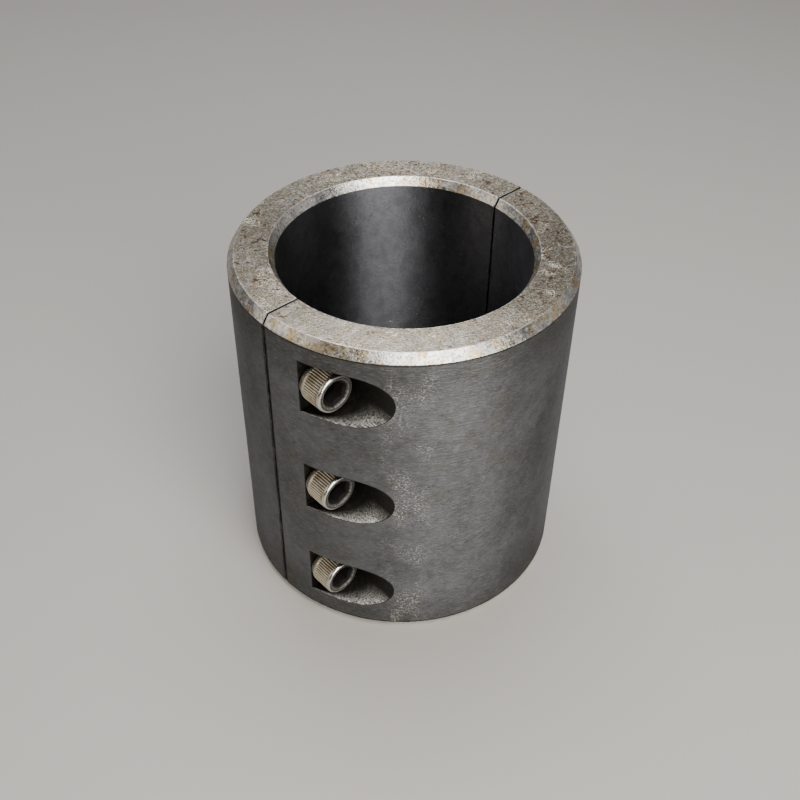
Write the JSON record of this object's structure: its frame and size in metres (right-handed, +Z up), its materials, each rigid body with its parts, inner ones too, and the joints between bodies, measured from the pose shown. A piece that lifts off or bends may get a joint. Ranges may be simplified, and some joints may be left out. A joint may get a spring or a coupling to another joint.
{
  "type": "two-piece clamping sleeve coupling",
  "caption": "Rigid shaft coupling: a steel sleeve split lengthwise into two half shells, clamped by socket head cap screws seated in side pockets.",
  "frame": {"origin": "centre of the bore at the bottom end face", "axes": "+Z up along the bore; the split is the XZ plane, with the front half at -Y; the front half's screws are at -X and face -Y, the rear half's are at +X and face +Y"},
  "size_m": [0.1016, 0.1016, 0.1111],
  "materials": {
    "turned_steel": "turned bare steel, oiled, lightly stained",
    "screw_steel": "straight-knurled bare steel",
    "washer_steel": "plain spring steel"
  },
  "bodies": {
    "front_half": {"front_half": "turned_steel"},
    "rear_half": {"rear_half": "turned_steel"},
    "front_lock_washer_bottom": {"front_lock_washer_bottom": "washer_steel"},
    "front_screw_bottom": {"front_screw_bottom": "screw_steel"},
    "front_lock_washer_middle": {"front_lock_washer_middle": "washer_steel"},
    "front_screw_middle": {"front_screw_middle": "screw_steel"},
    "front_lock_washer_top": {"front_lock_washer_top": "washer_steel"},
    "front_screw_top": {"front_screw_top": "screw_steel"},
    "rear_lock_washer_bottom": {"rear_lock_washer_bottom": "washer_steel"},
    "rear_screw_bottom": {"rear_screw_bottom": "screw_steel"},
    "rear_lock_washer_middle": {"rear_lock_washer_middle": "washer_steel"},
    "rear_screw_middle": {"rear_screw_middle": "screw_steel"},
    "rear_lock_washer_top": {"rear_lock_washer_top": "washer_steel"},
    "rear_screw_top": {"rear_screw_top": "screw_steel"}
  },
  "joints": [
    {"name": "rear_half_open", "type": "slide", "parent": "front_half", "child": "rear_half", "axis": [0, 1, 0], "range_m": [0, 0.04]},
    {"name": "front_screw_bottom_back_out", "type": "slide", "parent": "front_half", "child": "front_lock_washer_bottom", "axis": [0, -1, 0], "range_m": [0, 0.0085]},
    {"name": "front_screw_bottom_turn", "type": "hinge", "parent": "front_lock_washer_bottom", "child": "front_screw_bottom", "pos_m": [-0.044, -0.0135, 0.01816], "axis": [0, -1, 0], "range_deg": [0, 2160]},
    {"name": "front_screw_middle_back_out", "type": "slide", "parent": "front_half", "child": "front_lock_washer_middle", "axis": [0, -1, 0], "range_m": [0, 0.0085]},
    {"name": "front_screw_middle_turn", "type": "hinge", "parent": "front_lock_washer_middle", "child": "front_screw_middle", "pos_m": [-0.044, -0.0135, 0.05606], "axis": [0, -1, 0], "range_deg": [0, 2160]},
    {"name": "front_screw_top_back_out", "type": "slide", "parent": "front_half", "child": "front_lock_washer_top", "axis": [0, -1, 0], "range_m": [0, 0.0085]},
    {"name": "front_screw_top_turn", "type": "hinge", "parent": "front_lock_washer_top", "child": "front_screw_top", "pos_m": [-0.044, -0.0135, 0.09396], "axis": [0, -1, 0], "range_deg": [0, 2160]},
    {"name": "rear_screw_bottom_back_out", "type": "slide", "parent": "rear_half", "child": "rear_lock_washer_bottom", "axis": [0, 1, 0], "range_m": [0, 0.0085]},
    {"name": "rear_screw_bottom_turn", "type": "hinge", "parent": "rear_lock_washer_bottom", "child": "rear_screw_bottom", "pos_m": [0.044, 0.0135, 0.01816], "axis": [0, 1, 0], "range_deg": [0, 2160]},
    {"name": "rear_screw_middle_back_out", "type": "slide", "parent": "rear_half", "child": "rear_lock_washer_middle", "axis": [0, 1, 0], "range_m": [0, 0.0085]},
    {"name": "rear_screw_middle_turn", "type": "hinge", "parent": "rear_lock_washer_middle", "child": "rear_screw_middle", "pos_m": [0.044, 0.0135, 0.05606], "axis": [0, 1, 0], "range_deg": [0, 2160]},
    {"name": "rear_screw_top_back_out", "type": "slide", "parent": "rear_half", "child": "rear_lock_washer_top", "axis": [0, 1, 0], "range_m": [0, 0.0085]},
    {"name": "rear_screw_top_turn", "type": "hinge", "parent": "rear_lock_washer_top", "child": "rear_screw_top", "pos_m": [0.044, 0.0135, 0.09396], "axis": [0, 1, 0], "range_deg": [0, 2160]}
  ],
  "couplings": [
    {"joint": "front_screw_bottom_back_out", "follows": "front_screw_bottom_turn", "m_per_rad": 0.00022458},
    {"joint": "front_screw_middle_back_out", "follows": "front_screw_middle_turn", "m_per_rad": 0.00022458},
    {"joint": "front_screw_top_back_out", "follows": "front_screw_top_turn", "m_per_rad": 0.00022458},
    {"joint": "rear_screw_bottom_back_out", "follows": "rear_screw_bottom_turn", "m_per_rad": 0.00022458},
    {"joint": "rear_screw_middle_back_out", "follows": "rear_screw_middle_turn", "m_per_rad": 0.00022458},
    {"joint": "rear_screw_top_back_out", "follows": "rear_screw_top_turn", "m_per_rad": 0.00022458}
  ]
}
